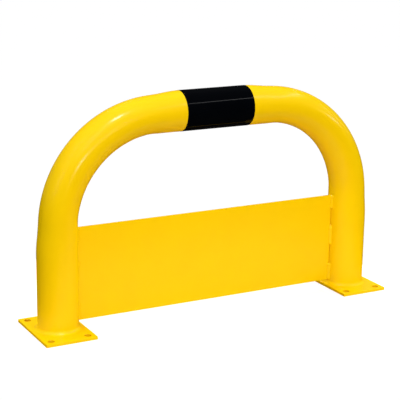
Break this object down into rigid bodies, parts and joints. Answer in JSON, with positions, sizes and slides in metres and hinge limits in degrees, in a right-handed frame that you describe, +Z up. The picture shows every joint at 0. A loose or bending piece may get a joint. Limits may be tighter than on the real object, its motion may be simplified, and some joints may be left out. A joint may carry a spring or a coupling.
{
  "type": "impact guard",
  "caption": "Floor-mounted hoop of bent steel tube with a flat skirt panel low down between its legs, which stops vehicles and forks short of racks, machines and walls.",
  "frame": {"origin": "on the floor, under the middle of the hoop", "axes": "+X along the hoop from leg to leg, +Y across it, +Z up"},
  "size_m": [1.038, 0.21, 0.6084],
  "materials": {
    "yellow_paint": "glossy traffic-yellow powder coat",
    "black_film": "glossy black film"
  },
  "bodies": {
    "root": {"hoop_tube": "yellow_paint", "skirt_panel": "yellow_paint", "base_plate_left": "yellow_paint", "base_plate_right": "yellow_paint", "foot_weld_left": "yellow_paint", "foot_weld_right": "yellow_paint", "warning_band": "black_film", "stitch_weld_left_front_bottom": "yellow_paint", "stitch_weld_left_front_middle": "yellow_paint", "stitch_weld_left_front_top": "yellow_paint", "stitch_weld_left_back_bottom": "yellow_paint", "stitch_weld_left_back_middle": "yellow_paint", "stitch_weld_left_back_top": "yellow_paint", "stitch_weld_right_front_bottom": "yellow_paint", "stitch_weld_right_front_middle": "yellow_paint", "stitch_weld_right_front_top": "yellow_paint", "stitch_weld_right_back_bottom": "yellow_paint", "stitch_weld_right_back_middle": "yellow_paint", "stitch_weld_right_back_top": "yellow_paint"}
  },
  "joints": []
}
